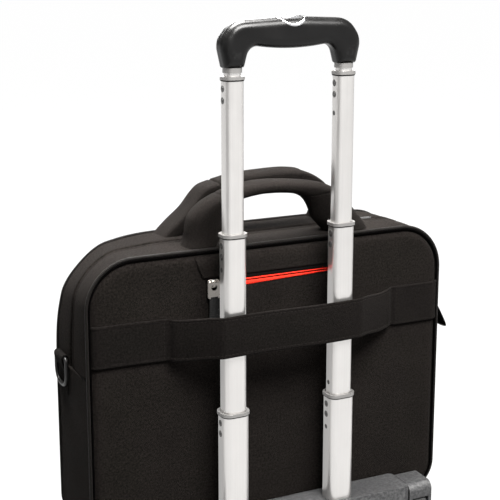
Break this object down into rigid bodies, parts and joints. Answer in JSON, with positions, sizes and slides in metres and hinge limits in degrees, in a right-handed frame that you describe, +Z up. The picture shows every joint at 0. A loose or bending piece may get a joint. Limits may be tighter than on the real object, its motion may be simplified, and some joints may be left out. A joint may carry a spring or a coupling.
{
  "type": "rolling laptop case",
  "caption": "Soft laptop case with two carry handles, slipped by a back strap over the telescopic tubes of a small wheeled trolley.",
  "frame": {"origin": "middle of the footprint, on the floor under the wheels and feet", "axes": "+Z up along the tubes, +X across the case, -Y the side of the case with the tubes and strap"},
  "size_m": [0.4508, 0.181, 0.6008],
  "materials": {
    "aluminium_tube": "satin anodised",
    "collar_plastic": "fine matt",
    "bush_plastic": "matt",
    "grip_plastic": "semi-gloss",
    "chrome_trim": "polished",
    "button_metal": "satin",
    "steel": "zinc plated",
    "base_plastic": "fine leather grain",
    "hub_plastic": "matt",
    "tyre": "matt rubber",
    "rubber": "matt rubber",
    "black_fabric": "coarse woven nylon",
    "webbing": "ribbed webbing",
    "handle_fabric": "padded woven nylon",
    "piping": "bound cord",
    "lining": "brushed lining",
    "zip_tape": "woven tape",
    "red_zip": "woven tape",
    "black_metal": "dark plated",
    "nickel": "satin nickel"
  },
  "bodies": {
    "trolley": {"base_tray": "base_plastic", "tray_mat": "rubber", "base_screws": "steel", "outer_tube_left": "aluminium_tube", "outer_tube_right": "aluminium_tube", "outer_rivets": "steel", "outer_lock_pins": "bush_plastic", "outer_collars": "collar_plastic", "wheel_housing_left": "base_plastic", "wheel_housing_right": "base_plastic", "wheel_bolts": "steel", "front_feet": "rubber"},
    "wheel_left_body": {"wheel_left": "hub_plastic", "tyre_left": "tyre"},
    "wheel_right_body": {"wheel_right": "hub_plastic", "tyre_right": "tyre"},
    "middle_stage": {"middle_tube_left": "aluminium_tube", "middle_tube_right": "aluminium_tube", "middle_rivets": "steel", "middle_lock_pins": "bush_plastic", "middle_collars": "collar_plastic", "middle_bushes": "bush_plastic"},
    "upper_stage": {"upper_tube_left": "aluminium_tube", "upper_tube_right": "aluminium_tube", "upper_rivets": "steel", "upper_lock_pins": "bush_plastic", "upper_collars": "collar_plastic", "upper_bushes": "bush_plastic"},
    "grip": {"neck_tube_left": "aluminium_tube", "neck_tube_right": "aluminium_tube", "neck_bushes": "bush_plastic", "ferrules": "collar_plastic", "grip_front": "grip_plastic", "grip_rear": "grip_plastic", "grip_core": "bush_plastic", "button_bezel": "chrome_trim"},
    "button": {"release_button": "button_metal"},
    "case": {"back_panel": "black_fabric", "front_panel": "black_fabric", "gusset_rear": "black_fabric", "gusset_front": "black_fabric", "gusset_base": "black_fabric", "main_zip": "zip_tape", "back_piping": "piping", "front_piping": "piping", "laptop_divider": "lining", "front_pocket": "black_fabric", "trolley_strap": "webbing", "rear_zip": "red_zip", "ring_tabs": "webbing"},
    "handle_back": {"carry_handle_back": "handle_fabric"},
    "handle_front": {"carry_handle_front": "handle_fabric"},
    "ring_left": {"d_ring_left": "black_metal"},
    "ring_right": {"d_ring_right": "black_metal"},
    "rear_zip_slider": {"rear_slider": "nickel"},
    "rear_zip_pull": {"rear_pull": "rubber"},
    "main_zip_slider": {"main_slider": "nickel"},
    "main_zip_pull": {"main_pull": "rubber"}
  },
  "joints": [
    {"name": "wheel_left_spin", "type": "hinge", "parent": "trolley", "child": "wheel_left_body", "pos_m": [-0.168, -0.066, 0.0245], "axis": [1, 0, 0], "continuous": true},
    {"name": "wheel_right_spin", "type": "hinge", "parent": "trolley", "child": "wheel_right_body", "pos_m": [0.168, -0.066, 0.0245], "axis": [1, 0, 0], "continuous": true},
    {"name": "middle_slide", "type": "slide", "parent": "trolley", "child": "middle_stage", "axis": [0, 0, 1], "range_m": [-0.112, 0]},
    {"name": "upper_slide", "type": "slide", "parent": "middle_stage", "child": "upper_stage", "axis": [0, 0, 1], "range_m": [-0.152, 0]},
    {"name": "neck_slide", "type": "slide", "parent": "upper_stage", "child": "grip", "axis": [0, 0, 1], "range_m": [0, 0.105]},
    {"name": "button_press", "type": "slide", "parent": "grip", "child": "button", "axis": [0, 0, -1], "range_m": [0, 0.0025], "stiffness_N_per_m": 800},
    {"name": "case_lift", "type": "slide", "parent": "trolley", "child": "case", "axis": [0, 0, 1], "range_m": [0, 0.36]},
    {"name": "handle_back_swing", "type": "hinge", "parent": "case", "child": "handle_back", "pos_m": [0, -0.019, 0.375], "axis": [1, 0, 0], "range_deg": [-12, 15]},
    {"name": "handle_front_swing", "type": "hinge", "parent": "case", "child": "handle_front", "pos_m": [0, 0.047, 0.375], "axis": [1, 0, 0], "range_deg": [-80, 12]},
    {"name": "ring_left_swing", "type": "hinge", "parent": "case", "child": "ring_left", "pos_m": [-0.2208, 0.039, 0.235], "axis": [0, 1, 0], "range_deg": [0, 140]},
    {"name": "ring_right_swing", "type": "hinge", "parent": "case", "child": "ring_right", "pos_m": [0.2208, 0.039, 0.235], "axis": [0, -1, 0], "range_deg": [0, 140]},
    {"name": "rear_zip_slide", "type": "slide", "parent": "case", "child": "rear_zip_slider", "axis": [1, 0, 0], "range_m": [0, 0.15]},
    {"name": "rear_pull_swing", "type": "hinge", "parent": "rear_zip_slider", "child": "rear_zip_pull", "pos_m": [-0.076, -0.0448, 0.3115], "axis": [-1, 0, 0], "range_deg": [0, 12]},
    {"name": "main_zip_slide", "type": "slide", "parent": "case", "child": "main_zip_slider", "axis": [1, 0, 0], "range_m": [0, 0.03]},
    {"name": "main_pull_swing", "type": "hinge", "parent": "main_zip_slider", "child": "main_zip_pull", "pos_m": [0.128, 0.013, 0.3572], "axis": [0, -1, 0], "range_deg": [0, 110]}
  ]
}
